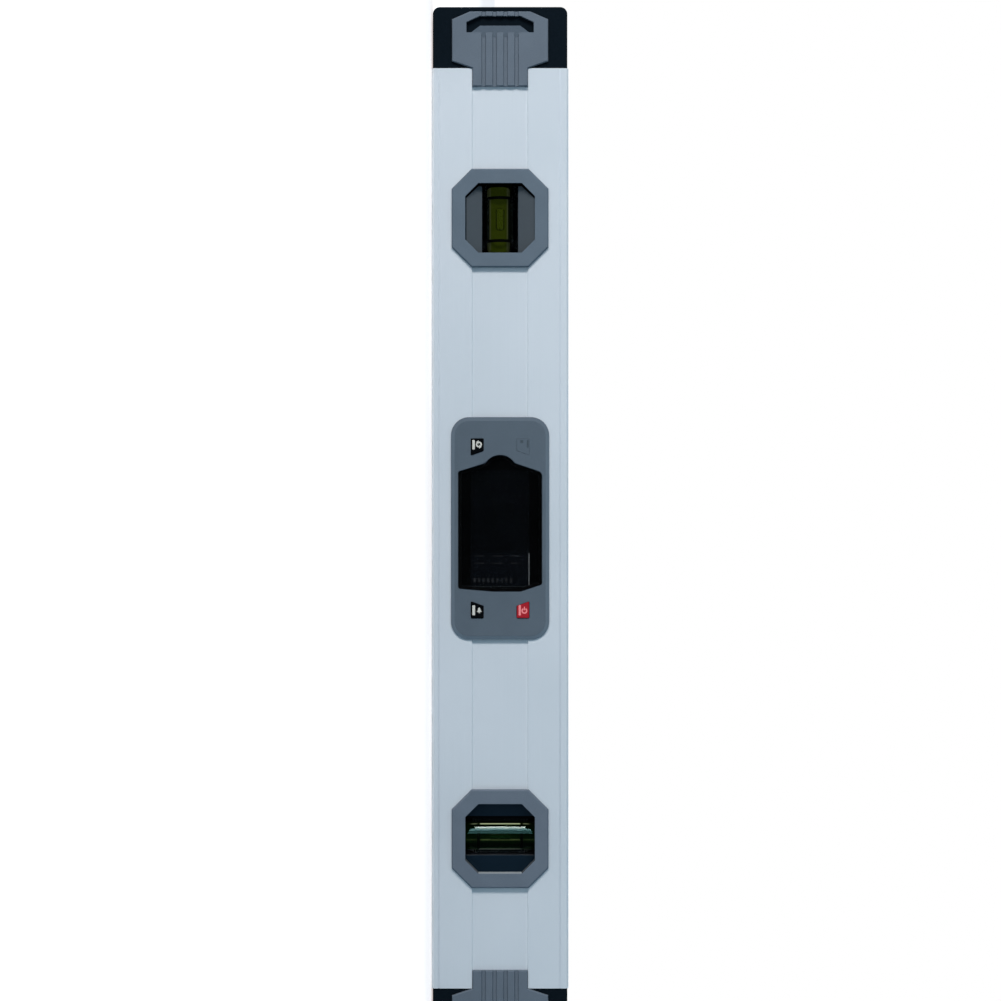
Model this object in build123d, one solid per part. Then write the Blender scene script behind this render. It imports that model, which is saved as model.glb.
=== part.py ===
from build123d import *
import os

# A digital spirit level standing on its measuring base. X runs along the level, the front faces -Y
# and Z is up. The origin is the middle of the measuring base. All sizes are in millimetres.

# Aluminium box profile
level_length = 400.0       # over both end caps
level_height = 52.4        # measuring base to top face
level_depth = 24.0         # front face to back face
side_wall = 2.4
rail_wall = 3.0            # behind the two measuring faces
edge_radius = 1.2
channel_height = 21.5      # shallow channel along the middle of each side
channel_depth = 0.8
line_width = 0.5           # fine line along both edges of each side
line_depth = 0.3
line_from_base = 2.7
line_from_top = 3.2

# Clearances
fit = 0.15                 # between pieces that are assembled and then stay
running = 0.3              # between pieces that move past each other

# Moulded end caps
cap_length = 23.7
cap_inset = 0.4            # how far the cap stays inside the profile's outline
cap_wall = 2.5             # at the outer end
cap_corner = 2.7
cap_edge = 0.8
cap_plug_length = 14.0     # pushed into the profile
cap_plug_wall = 2.0

# Ribbed plates on the end caps, with a tongue that lies in the channel
plate_thickness = 1.6
plate_margin = 2.1         # from the cap's outer end
plate_height = 36.8
plate_end_height = 23.0    # along the plate's outer edge
plate_end_slope = 3.0
plate_tongue_slope = 2.6
tongue_length = 7.0
groove_count = 4
groove_pitch = 4.2
groove_width = 1.75        # at the plate's face
groove_slope = 0.3         # of each side, along Z
groove_depth = 0.6
plate_edge = 0.3
slot_margin = 1.65         # from the plate's outer edge to the slot
slot_length = 6.4
slot_height = 25.8
slot_end_height = 15.4
slot_slope = 2.35
lip_length = 2.35          # finger lip on the slot's inner edge
lip_height = 22.2          # at its foot
lip_rise = 0.8             # above the plate's face
peg_diameter = 3.0
peg_length = 2.0
peg_inset = 4.4            # from the plate's long edges

# Vial housings: an octagonal frame in front and a cover behind, pinned together
vial_from_end = 81.2       # from the level's end to the middle of a vial
opening_size = 26.6
opening_cut = 5.0          # length of the cut corners along each side
opening_bevel = 0.1
level_panel = (0.9, 3.0)   # from the frame's face to a slanted panel's outer edge, and to its inner edge
plumb_panel = (4.0, 4.6)
frame_end_width = 5.55     # beside the opening, along X
frame_side_width = 5.2     # beside the opening, along Z
frame_cut = 7.6
frame_rise = 1.2           # above the profile's face
frame_overlap = 1.8        # over the edge of the cut-out
frame_bevel = 0.5
frame_depth = 12.0         # from the profile's face to where frame and cover meet
cover_wall = 1.8
saddle_spacing = 16.0
saddle_width = 2.0
pin_diameter = 2.8
pin_length = 3.8
pin_wall = 0.9             # round a pin's socket

# Vials
tube_diameter = 13.6
tube_hold = 0.9            # hidden under the frame at each end
tube_straight = 19.0       # the middle stretch, before the tapered ends
tube_taper = 1.2           # off the radius, at each end
tube_recess = 0.9          # from the frame's face down to the tube
bore_diameter = 6.2        # at the middle of the barrel-shaped bore
bore_barrel = 0.2          # off the radius, at each end
bore_floor = 0.9           # closed end, and the plug at the other
ring_spacing = 16.5
ring_width = 1.1
ring_depth = 0.3
film = 0.05                # liquid to bore
bubble_diameter = 1.7
bubble_length = 8.6
bubble_end_gap = 2.4       # left at the end of its run

# Front shell of the digital module, as large as the display, the keys and their margins
bezel_end_margin = 8.3     # beyond the keys, along X
bezel_side_margin = 2.8    # beside the window, along Z
bezel_corner = 7.0
bezel_rise = 1.2           # above the profile's face
bezel_plate = 2.4
bezel_overlap = 1.6        # over the edge of the cut-out
bezel_skirt_depth = 8.0
skirt_wall = 1.5
band_width = 1.5           # sloped band round the bezel's face
band_drop = 0.7

# Display window: shoulders, a rounded gable towards one end, a shallow keel towards the other
window_side = 4.7          # beside the display, along Z
shoulder_base_drop = 0.8   # short of the display's end, on the side of the base
shoulder_top_drop = 1.1
shoulder_radius = 2.2      # of the shoulder on the side of the top
gable_margin = 2.6         # beyond the display's end, to the gable's foot
gable_rise = 2.9           # from its foot to its crown
gable_width = 10.0         # between the feet, which lie under the dome
gable_radius = 6.5
gable_hollow = 1.5         # radius between the dome and the shoulders
corner_base_margin = 0.5   # beyond the display's other end, on the side of the base
corner_top_drop = 1.1
keel_margin = 1.6
keel_base = 3.0            # the keel's flat stretch, below and above the middle
keel_top = 8.0
window_radius = 0.9
lens_thickness = 1.0
lens_recess = 0.2
lens_edge = 0.15
gasket_thickness = 0.3
ledge_width = 1.2          # under the lens

# Display stack and circuit board
lcd_length = 45.0
lcd_height = 22.6
lcd_ledge = 2.0            # the rear sheet's contact edge
lcd_thickness = 1.8
lcd_lip = 0.4
lcd_lip_cover = 0.5
lcd_frame_cover = 0.6      # the frame's reach behind the lens ledge
guide_thickness = 1.6
strip_width = 1.6
strip_margin = 2.0
board_thickness = 1.2
board_gap = 0.3
board_screw_inset = 2.7    # from the skirt's inner wall
board_boss_diameter = 3.8
board_screw_diameter = 1.6
board_screw_length = 3.6
board_head_diameter = 3.0
board_head_height = 0.9
chip_size = 9.0
chip_height = 1.0
chip_x = -9.0
sensor_size = 4.0
sensor_height = 0.9
sensor_x = 8.0
buzzer_diameter = 9.0
buzzer_height = 3.0
buzzer_from_post = 5.0     # along X, towards the middle
buzzer_drop = 8.5          # below the middle
buzzer_hole = 1.6

# Keys and their switches
key_margin = 2.9           # along X, from the gable's foot
key_length = 6.3
key_slant = 1.7
key_side = 4.9             # along Z, from the window's long edge
key_height = 4.7
key_rise = 0.4             # above the bezel's face
key_corner = 0.3
key_edge = 0.25
flush_rise = 0.05          # of the one key that is flush with the face
flush_edge = 0.08
flush_gap = 0.06
key_gap = 0.15
key_flange = 0.6
key_flange_thickness = 0.7
key_travel = 0.5
switch_size = 3.6
switch_height = 2.0
switch_floor = 0.3
plunger_diameter = 1.8

# Rear shell with the battery bay
back_rise = 1.8            # above the profile's back face
back_floor = 0.5           # of the door's slot
back_skirt_depth = 4.0
post_inset = 3.6           # from the skirt's inner wall
post_diameter = 6.8
boss_diameter = 5.2
boss_reach = 3.9           # behind the board
clamp_gap = 0.3            # between the posts of the two shells
screw_diameter = 2.2
screw_head_diameter = 4.2
screw_head_height = 1.4
screw_head_sink = 1.8      # from the back face to the head's outer side
screw_grip = 5.0           # length in the front shell's boss
door_side_lap = 3.6        # over the bay's edges
door_end_lap = 3.6
door_drop = 0.2            # gap under the door
door_groove_count = 5
door_groove_pitch = 2.2
door_groove_width = 1.0
door_groove_depth = 0.4
door_groove_margin = 12.0  # from the door's outer end to the middle of the grooves

# Two AAA cells and their contacts
cell_diameter = 10.5
cell_length = 44.5
cell_nub_diameter = 3.8
cell_nub_length = 0.8
cell_edge = 0.6
cell_gap = 0.4
bay_wall = 1.2
bay_side_gap = 0.2
contact_thickness = 0.4
contact_height = 8.0
contact_leg_width = 2.0
bump_diameter = 2.4
bump_height = 0.8
spring_space = 3.6
spring_height = 7.4
spring_width = 5.0
spring_thickness = 0.3     # at the crown
spring_foot = 0.5

# Planes and distances that follow from the sizes above
mid = level_height / 2
level_half = level_length / 2
rail_half = level_half - cap_length
front = -level_depth / 2
back = level_depth / 2
channel_floor = level_depth / 2 - channel_depth
cavity_depth = level_depth - 2 * side_wall
cavity_height = level_height - 2 * rail_wall
beyond = level_depth       # how far cutting tools reach past the faces

vial_x = level_half - vial_from_end
frame_length = opening_size + 2 * frame_end_width
frame_height = opening_size + 2 * frame_side_width
frame_face = front - frame_rise
frame_back = front + frame_depth
tube_radius = tube_diameter / 2
tube_y = frame_face + tube_recess + tube_radius
tube_length = opening_size + 2 * tube_hold
tube_half = tube_length / 2
seat_radius = tube_radius + fit
seat_length = tube_length + 2 * fit
bore_half = tube_half - bore_floor
bore_radius = bore_diameter / 2
bore_end_radius = bore_radius - bore_barrel
bubble_radius = bubble_diameter / 2
bubble_offset = bore_end_radius - bubble_radius - running
bubble_travel = bore_half - film - bubble_length / 2 - bubble_end_gap

lcd_half = lcd_length / 2
window_half = lcd_height / 2 + window_side
gable_foot = lcd_half + gable_margin
key_near = gable_foot + key_margin
key_far = key_near + key_length
key_outer = window_half - key_side
key_inner = key_outer - key_height
bezel_half = key_far + bezel_end_margin
bezel_length = 2 * bezel_half
bezel_height = 2 * (window_half + bezel_side_margin)
cutout_length = bezel_length - 2 * bezel_overlap
cutout_height = bezel_height - 2 * bezel_overlap
cutout_corner = bezel_corner - bezel_overlap
skirt_length = cutout_length - 2 * fit
skirt_height = cutout_height - 2 * fit
skirt_corner = cutout_corner - fit
board_screw_x = skirt_length / 2 - skirt_wall - board_screw_inset
board_screw_z = skirt_height / 2 - skirt_wall - board_screw_inset
post_x = skirt_length / 2 - skirt_wall - post_inset

bezel_face = front - bezel_rise
plate_back = bezel_face + bezel_plate
lens_back = bezel_face + lens_recess + lens_thickness
ledge_front = lens_back + gasket_thickness
lcd_front = plate_back + lcd_lip
guide_front = lcd_front + lcd_thickness
board_front = guide_front + guide_thickness
board_back = board_front + board_thickness
key_flange_front = plate_back + key_gap
key_flange_back = key_flange_front + key_flange_thickness
switch_top = board_front - switch_height
boss_back = board_back + boss_reach
post_front = boss_back + clamp_gap

back_face = back + back_rise
slot_floor = back + back_floor
door_inner = slot_floor + door_drop
head_seat = back - screw_head_sink - screw_head_height
cell_pitch = cell_diameter + cell_gap
cell_y = slot_floor - running - cell_diameter / 2
bay_floor = cell_y - cell_diameter / 2 - fit
bay_front = bay_floor - bay_wall
bay_half_height = (cell_pitch + cell_diameter) / 2 + bay_side_gap
bay_half_length = (cell_length + spring_space + bump_height) / 2 + contact_thickness
cell_shift = (spring_space - bump_height) / 2
door_half_height = bay_half_height + door_side_lap
door_end = bay_half_length + door_end_lap

os.makedirs("parts", exist_ok=True)


def slab(outline, front_y, back_y):
    """A front-view outline, drawn in X and Z, made solid between two depths."""
    return extrude(Plane.XZ.offset(-back_y) * outline, back_y - front_y)


def rod(x, z, diameter, front_y, back_y):
    """A round rod along Y."""
    return slab(Pos(x, z) * Circle(diameter / 2), front_y, back_y)


def octagon(length, height, cut):
    """A rectangle with its four corners cut off."""
    return chamfer(Rectangle(length, height).vertices(), cut)


def along_x(section, half_length):
    """A cross-section, drawn in Y and Z, drawn out to both sides of the middle."""
    return extrude(Plane.YZ * section, half_length, both=True)


def turned(outline):
    """A half outline, drawn in X and Y, turned about X."""
    return revolve(outline, Axis.X)


def polygon(*points):
    return make_face(Polyline(*points, close=True))


def box_profile():
    """The extruded box section with its side channels, edge lines and cut-outs."""
    section = RectangleRounded(level_depth, level_height, edge_radius)
    section -= Rectangle(cavity_depth, cavity_height)
    for side in (-1, 1):
        face = side * level_depth / 2
        section -= Pos(face, 0) * Rectangle(2 * channel_depth, channel_height)
        for line_z in (line_from_base - mid, mid - line_from_top):
            section -= Pos(face, line_z) * Rectangle(2 * line_depth, line_width)
    profile = along_x(Pos(0, mid) * section, rail_half)
    for x in (-vial_x, vial_x):
        profile -= slab(housing_outline(x, 0), -beyond, beyond)
    window = RectangleRounded(cutout_length, cutout_height, cutout_corner)
    return profile - slab(Pos(0, mid) * window, -beyond, beyond)


def plate_outline():
    """The front plate of the right end cap, with its tongue towards the middle of the level."""
    outer = level_half - plate_margin
    tongue = channel_height / 2 - fit
    upper = [
        (outer, plate_end_height / 2),
        (outer - plate_end_slope, plate_height / 2),
        (rail_half + plate_tongue_slope, plate_height / 2),
        (rail_half, tongue),
        (rail_half - tongue_length, tongue),
    ]
    lower = [(x, -z) for x, z in reversed(upper)]
    return Pos(0, mid) * polygon(*upper, *lower)


def slot_outline():
    """The plate's slot, narrower towards the outer end."""
    outer = level_half - plate_margin - slot_margin
    inner = outer - slot_length
    upper = [(outer, slot_end_height / 2), (outer - slot_slope, slot_height / 2), (inner, slot_height / 2)]
    lower = [(x, -z) for x, z in reversed(upper)]
    return Pos(0, mid) * polygon(*upper, *lower)


def peg_places():
    x = (rail_half + level_half) / 2
    half = plate_height / 2 - peg_inset
    return [(x, mid - half), (x, mid + half)]


def end_plate():
    """The ribbed plate on the front of the right end cap."""
    face = -channel_floor - plate_thickness
    plate = slab(plate_outline(), face, -channel_floor)
    plate = chamfer(plate.faces().sort_by(Axis.Y)[0].edges(), plate_edge)
    inner = rail_half - tongue_length
    outer = level_half - plate_margin
    for i in range(groove_count):
        z = mid + (i - (groove_count - 1) / 2) * groove_pitch
        mouth = groove_width / 2
        floor = mouth - groove_slope
        floor_y = face + groove_depth
        groove = polygon((face, z - mouth), (face, z + mouth), (floor_y, z + floor), (floor_y, z - floor))
        plate -= extrude(Plane.YZ.offset(inner) * groove, outer - inner)
    plate -= slab(slot_outline(), face, -channel_floor)
    foot = outer - slot_margin - slot_length
    crest = foot + lip_length
    ramp = foot - lip_length * groove_depth / lip_rise
    lip_outline = Pos(0, mid) * polygon(
        (ramp, lip_height / 2),
        (foot, lip_height / 2),
        (crest, slot_end_height / 2),
        (crest, -slot_end_height / 2),
        (foot, -lip_height / 2),
        (ramp, -lip_height / 2),
    )
    slope = polygon(
        (ramp, -channel_floor),
        (ramp, face + groove_depth),
        (crest, face - lip_rise),
        (crest, -channel_floor),
    )
    plate += slab(lip_outline, face - lip_rise, -channel_floor) & extrude(slope, level_height)
    for x, z in peg_places():
        plate += rod(x, z, peg_diameter, -channel_floor, -channel_floor + peg_length)
    return plate


def end_cap():
    """The right end cap: a block with a hollow plug, and a pocket for a plate on each side."""
    half_depth = level_depth / 2 - cap_inset
    cap_height = level_height - 2 * cap_inset
    block = Pos((rail_half + level_half) / 2, mid) * Rectangle(cap_length, cap_height)
    block = fillet(block.vertices().group_by(Axis.X)[-1], cap_corner)
    cap = slab(block, -half_depth, half_depth)
    rim = cap.edges().filter_by(lambda edge: edge.center().X > rail_half + fit)
    rim = rim.filter_by(lambda edge: abs(edge.center().Y) > half_depth - fit)
    cap = fillet(rim, cap_edge)
    plug_depth = cavity_depth - 2 * fit
    plug_height = cavity_height - 2 * fit
    plug = Pos(rail_half - cap_plug_length / 2, 0, mid) * Box(cap_plug_length, plug_depth, plug_height)
    hollow_length = cap_plug_length + cap_length - cap_wall
    hollow_x = rail_half - cap_plug_length + hollow_length / 2
    hollow = Box(hollow_length, plug_depth - 2 * cap_plug_wall, plug_height - 2 * cap_plug_wall)
    cap = cap + plug - Pos(hollow_x, 0, mid) * hollow
    seat = slab(offset(plate_outline(), fit, kind=Kind.INTERSECTION), -beyond, -channel_floor)
    for x, z in peg_places():
        seat += rod(x, z, peg_diameter + 2 * fit, -beyond, -channel_floor + peg_length + fit)
    return cap - seat - mirror(seat, Plane.XZ)


def vial_place(x, turn):
    """Where a vial's own axis, its X, lies in the level."""
    return Pos(x, tube_y, mid) * Rot(0, turn, 0)


def pin_places(x):
    """The four pins, each behind the middle of a cut corner."""
    inset = fit + pin_diameter / 2 + pin_wall
    room = (frame_length + frame_height) / 2 - 2 * frame_overlap - frame_cut
    half = (room - inset * 2 ** 0.5) / 2
    return [(x + i * half, mid + k * half) for i in (-1, 1) for k in (-1, 1)]


def housing_outline(x, gap):
    """The octagon of a vial housing inside its cut-out, smaller by a gap all round."""
    length = frame_length - 2 * frame_overlap - 2 * gap
    height = frame_height - 2 * frame_overlap - 2 * gap
    return Pos(x, mid) * octagon(length, height, frame_cut)


def flange_outline(x):
    """The octagon of a vial housing where it lies on the profile."""
    return Pos(x, mid) * octagon(frame_length, frame_height, frame_cut)


def vial_seat():
    """The space round a tube, about the vial's own axis."""
    return turned(Pos(0, seat_radius / 2) * Rectangle(seat_length, seat_radius))


def vial_frame(x, turn, panel):
    """The front half of a vial housing: flange, slanted panels and the vial's seat."""
    frame = slab(flange_outline(x), frame_face, front)
    frame = chamfer(frame.faces().sort_by(Axis.Y)[0].edges(), frame_bevel)
    frame += slab(housing_outline(x, fit), front, frame_back)
    place = vial_place(x, turn)
    face = frame_face - tube_y
    outer, inner = panel
    panels = polygon(
        (face, -opening_size / 2),
        (face, opening_size / 2),
        (face + outer, opening_size / 2),
        (face + inner, seat_radius),
        (0, seat_radius),
        (0, -seat_radius),
        (face + inner, -seat_radius),
        (face + outer, -opening_size / 2),
    )
    window = slab(Pos(x, mid) * octagon(opening_size, opening_size, opening_cut), frame_face, tube_y)
    frame -= window & (place * along_x(panels, opening_size / 2))
    frame = chamfer(frame.faces().sort_by(Axis.Y)[0].inner_wires()[0].edges(), opening_bevel)
    seat_depth = frame_back - tube_y
    entry = Pos(0, seat_depth / 2, 0) * Box(seat_length, seat_depth, 2 * seat_radius)
    frame -= place * (vial_seat() + entry)
    for pin_x, pin_z in pin_places(x):
        frame -= rod(pin_x, pin_z, pin_diameter + 2 * fit, frame_back - pin_length - fit, frame_back)
    return frame


def vial_cover(x, turn):
    """The back half of a vial housing: a plate, a wall, two saddles and four pins."""
    plate_face = back + frame_rise
    cover = slab(flange_outline(x), back, plate_face)
    cover = chamfer(cover.faces().sort_by(Axis.Y)[-1].edges(), frame_bevel)
    cover += slab(housing_outline(x, fit), frame_back, back)
    cover -= slab(housing_outline(x, fit + cover_wall), frame_back, back)
    place = vial_place(x, turn)
    saddle_depth = back - frame_back
    saddle = Box(saddle_width, saddle_depth, frame_height)
    for u in (-saddle_spacing / 2, saddle_spacing / 2):
        rib = place * Pos(u, frame_back - tube_y + saddle_depth / 2, 0) * saddle
        cover += rib & slab(housing_outline(x, fit), frame_back, back)
    cover -= place * vial_seat()
    for pin_x, pin_z in pin_places(x):
        post = rod(pin_x, pin_z, pin_diameter + 2 * pin_wall, frame_back, back)
        cover += post & slab(housing_outline(x, fit), frame_back, back)
        cover += rod(pin_x, pin_z, pin_diameter, frame_back - pin_length, frame_back)
    return cover


def bore_outline(gap):
    """Half of the barrel-shaped bore, less a gap all round."""
    half = bore_half - gap
    edge = bore_end_radius - gap
    barrel = ThreePointArc((-half, edge), (0, bore_radius - gap), (half, edge))
    return make_face([barrel, Polyline((half, edge), (half, 0), (-half, 0), (-half, edge))])


def ring_outline(u):
    return Pos(u, bore_radius + ring_depth / 2) * Rectangle(ring_width, ring_depth)


def vial_tube():
    """The clear tube about its own X axis: tapered ends, barrel bore and grooves for the rings."""
    end_radius = tube_radius - tube_taper
    outline = polygon(
        (-tube_half, 0),
        (-tube_half, end_radius),
        (-tube_straight / 2, tube_radius),
        (tube_straight / 2, tube_radius),
        (tube_half, end_radius),
        (tube_half, 0),
    )
    tube = turned(outline) - turned(bore_outline(0))
    mouth = Rectangle(bore_floor, bore_end_radius)
    tube -= turned(Pos(tube_half - bore_floor / 2, bore_end_radius / 2) * mouth)
    groove_radius = bore_radius + ring_depth
    for u in (-ring_spacing / 2, ring_spacing / 2):
        tube -= turned(Pos(u, groove_radius / 2) * Rectangle(ring_width, groove_radius))
    return tube


def vial_plug():
    """The plug that closes the tube's open end."""
    radius = bore_end_radius - film
    return turned(Pos(tube_half - bore_floor / 2, radius / 2) * Rectangle(bore_floor, radius))


def vial_rings():
    """The two marks that the bubble is read against."""
    return [turned(ring_outline(u)) for u in (-ring_spacing / 2, ring_spacing / 2)]


def vial_liquid():
    """The liquid, with a trough along its front for the bubble's whole run."""
    liquid = turned(bore_outline(film))
    trough_radius = bubble_radius + running
    trough_half = bubble_travel + bubble_length / 2 + running
    trough = SlotOverall(2 * trough_half, 2 * trough_radius)
    return liquid - slab(trough, -tube_radius, trough_radius - bubble_offset)


def capsule_outline(length, radius):
    """Half of a round-ended rod."""
    flat = length / 2 - radius
    dome = radius / 2 ** 0.5
    return make_face([
        Line((-length / 2, 0), (length / 2, 0)),
        ThreePointArc((length / 2, 0), (flat + dome, dome), (flat, radius)),
        Line((flat, radius), (-flat, radius)),
        ThreePointArc((-flat, radius), (-flat - dome, dome), (-length / 2, 0)),
    ])


def vial_bubble():
    """The bubble, at the front of the bore and midway between the rings."""
    return Pos(0, -bubble_offset, 0) * turned(capsule_outline(bubble_length, bubble_radius))


def module_outline(length, height, corner):
    return Pos(0, mid) * RectangleRounded(length, height, corner)


def window_outline(grow=0):
    """The display window with its gable and keel, larger or smaller by an even margin."""
    low = -window_half
    high = window_half
    foot = gable_width / 2
    keel = lcd_half + keel_margin
    shoulder_base = (shoulder_base_drop - lcd_half, low)
    shoulder_top = (shoulder_top_drop - lcd_half, high)
    corner_base = (lcd_half + corner_base_margin, low)
    corner_top = (lcd_half - corner_top_drop, high)
    outline = polygon(
        (-gable_foot, -foot),
        (-gable_foot, foot),
        shoulder_top,
        corner_top,
        (keel, keel_top),
        (keel, -keel_base),
        corner_base,
        shoulder_base,
    )
    corners = outline.vertices().sort_by(Axis.X)[2:]
    outline = fillet([c for c in corners if (c.X, c.Y) != shoulder_top], window_radius)
    outline = fillet(outline.vertices().group_by(Axis.Y)[-1].sort_by(Axis.X)[0], shoulder_radius)
    outline += Pos(gable_radius - gable_foot - gable_rise, 0) * Circle(gable_radius)
    outline = fillet(outline.vertices().sort_by(Axis.X)[:2], gable_hollow)
    if grow:
        outline = offset(outline, grow, kind=Kind.INTERSECTION)
    return Pos(0, mid) * outline


def key_outline(end, side, grow=0):
    """A key's slanted outline at one corner of the window, with its slant towards the window."""
    outline = polygon(
        (end * key_near, side * key_outer),
        (end * (key_near + key_slant), side * key_inner),
        (end * key_far, side * key_inner),
        (end * key_far, side * key_outer),
    )
    outline = fillet(outline.vertices(), key_corner)
    if grow:
        outline = offset(outline, grow, kind=Kind.INTERSECTION)
    return Pos(0, mid) * outline


key_corners = {"mode": (-1, -1), "unit": (-1, 1), "alarm": (1, -1), "power": (1, 1)}
flush_key = "unit"


def switch_place(end, side):
    """The middle of a key, where its switch stands."""
    x = end * (key_near + key_slant / 2 + key_far) / 2
    z = mid + side * (key_inner + key_outer) / 2
    return x, z


def board_screw_places():
    return [(i * board_screw_x, mid + k * board_screw_z) for i in (-1, 1) for k in (-1, 1)]


def display_bezel():
    """The front shell: sloped rim, lens recess, key holes, skirt and bosses."""
    rim_y = bezel_face + band_drop
    rim = module_outline(bezel_length, bezel_height, bezel_corner)
    shrink = 2 * band_width
    top = module_outline(bezel_length - shrink, bezel_height - shrink, bezel_corner - band_width)
    bezel = slab(rim, rim_y, front)
    bezel += loft([Plane.XZ.offset(-rim_y) * rim, Plane.XZ.offset(-bezel_face) * top], ruled=True)
    skirt_back = front + bezel_skirt_depth
    bezel += slab(module_outline(skirt_length, skirt_height, skirt_corner), front, skirt_back)
    bezel -= slab(inner_outline(0), plate_back, skirt_back)
    bezel -= slab(window_outline(fit), bezel_face, ledge_front)
    bezel -= slab(window_outline(-ledge_width), ledge_front, plate_back)
    for name, (end, side) in key_corners.items():
        gap = flush_gap if name == flush_key else key_gap
        bezel -= slab(key_outline(end, side, gap), bezel_face, plate_back)
    board_screw_tip = board_back - board_screw_length
    for x, z in board_screw_places():
        bezel += rod(x, z, board_boss_diameter, plate_back, board_front)
        bezel -= rod(x, z, board_screw_diameter + 2 * film, board_screw_tip - fit, board_front)
    for x in (-post_x, post_x):
        bezel += rod(x, mid, boss_diameter, plate_back, boss_back)
        bezel -= rod(x, mid, screw_diameter + 2 * film, boss_back - screw_grip - fit, boss_back)
    return bezel


def inner_outline(gap):
    """The space inside the front shell's skirt, less a gap all round."""
    shrink = 2 * (skirt_wall + gap)
    corner = max(skirt_corner - skirt_wall - gap, fit)
    return module_outline(skirt_length - shrink, skirt_height - shrink, corner)


def display_lens():
    lens = slab(window_outline(), bezel_face + lens_recess, lens_back)
    return chamfer(lens.faces().sort_by(Axis.Y)[0].edges(), lens_edge)


def lens_gasket():
    """The adhesive ring between lens and ledge."""
    ring = window_outline(-fit) - window_outline(-ledge_width)
    return slab(ring, lens_back, ledge_front)


def lcd_pocket(gap):
    """The outline of the display's rear sheet, whose contact edge lies towards the base."""
    return Pos(0, mid - lcd_ledge / 2) * Rectangle(lcd_length + 2 * gap, lcd_height + lcd_ledge + 2 * gap)


def lcd_view(gap):
    return Pos(0, mid) * Rectangle(lcd_length + 2 * gap, lcd_height + 2 * gap)


def lcd_frame():
    """The frame that holds the display behind the window."""
    outline = window_outline(lcd_frame_cover - ledge_width) & inner_outline(fit)
    frame = slab(outline, plate_back, board_front)
    frame -= slab(lcd_view(-lcd_lip_cover), plate_back, lcd_front)
    return frame - slab(lcd_pocket(fit), lcd_front, board_front)


def lcd_glass():
    """The two glass sheets of the display, the rear one with a contact edge."""
    sheet = (lcd_front + guide_front) / 2
    return slab(lcd_view(0), lcd_front, sheet) + slab(lcd_pocket(0), sheet, guide_front)


def light_guide():
    return slab(lcd_view(0), guide_front, board_front)


def connector_strip():
    """The rubber strip that joins the display's contact edge to the board."""
    z = mid - lcd_height / 2 - lcd_ledge + strip_width / 2
    strip = Pos(0, z) * Rectangle(lcd_length - 2 * strip_margin, strip_width)
    return slab(strip, guide_front, board_front)


def circuit_board():
    board = slab(inner_outline(board_gap), board_front, board_back)
    for x, z in board_screw_places():
        board -= rod(x, z, board_screw_diameter + 2 * fit, board_front, board_back)
    for x in (-post_x, post_x):
        board -= rod(x, mid, boss_diameter + 2 * running, board_front, board_back)
    return board


def screw(x, z, diameter, head_diameter, head_height, seat_y, tip_y):
    """A pan-head screw that points to the front."""
    shank = rod(x, z, diameter, tip_y, seat_y)
    head = rod(x, z, head_diameter, seat_y, seat_y + head_height)
    return shank + chamfer(head.faces().sort_by(Axis.Y)[-1].edges(), head_height / 3)


def board_screws():
    tip = board_back - board_screw_length
    sizes = (board_screw_diameter, board_head_diameter, board_head_height)
    return [screw(x, z, *sizes, board_back, tip) for x, z in board_screw_places()]


def tilt_sensor():
    outline = Pos(sensor_x, mid) * RectangleRounded(sensor_size, sensor_size, sensor_size / 10)
    return slab(outline, board_back, board_back + sensor_height)


def controller_chip():
    outline = Pos(chip_x, mid) * Rectangle(chip_size, chip_size)
    chip = slab(outline, board_back, board_back + chip_height)
    return chamfer(chip.faces().sort_by(Axis.Y)[-1].edges(), chip_height / 4)


def buzzer():
    x = post_x - buzzer_from_post
    z = mid - buzzer_drop
    can = rod(x, z, buzzer_diameter, board_back, board_back + buzzer_height)
    return can - rod(x, z, buzzer_hole, board_back + buzzer_height / 2, board_back + buzzer_height)


def key(end, side, rise, edge):
    """A key cap with the flange that keeps it behind the bezel."""
    cap = slab(key_outline(end, side), bezel_face - rise, key_flange_front)
    cap = fillet(cap.faces().sort_by(Axis.Y)[0].edges(), edge)
    return cap + slab(key_outline(end, side, key_flange), key_flange_front, key_flange_back)


def key_switches():
    """The four switch bodies on the board, each with a blind hole for its plunger."""
    switches = []
    for end, side in key_corners.values():
        x, z = switch_place(end, side)
        body = slab(Pos(x, z) * Rectangle(switch_size, switch_size), switch_top, board_front)
        hole = rod(x, z, plunger_diameter + 2 * running, switch_top, board_front - switch_floor)
        switches.append(body - hole)
    return switches


def plunger(end, side):
    x, z = switch_place(end, side)
    tip = board_front - switch_floor - running - key_travel
    return rod(x, z, plunger_diameter, key_flange_back, tip)


def door_section(gap, inner_y):
    """The door's dovetail across the level, larger by a gap square to its slanted edges."""
    grow = gap * 2 ** 0.5
    low = door_half_height + grow + (door_inner - inner_y)
    high = door_half_height + grow - (back_face - door_inner)
    return Pos(0, mid) * polygon((inner_y, -low), (inner_y, low), (back_face, high), (back_face, -high))


def bay_outline(gap):
    return Pos(0, mid) * Rectangle(2 * (bay_half_length + gap), 2 * (bay_half_height + gap))


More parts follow.
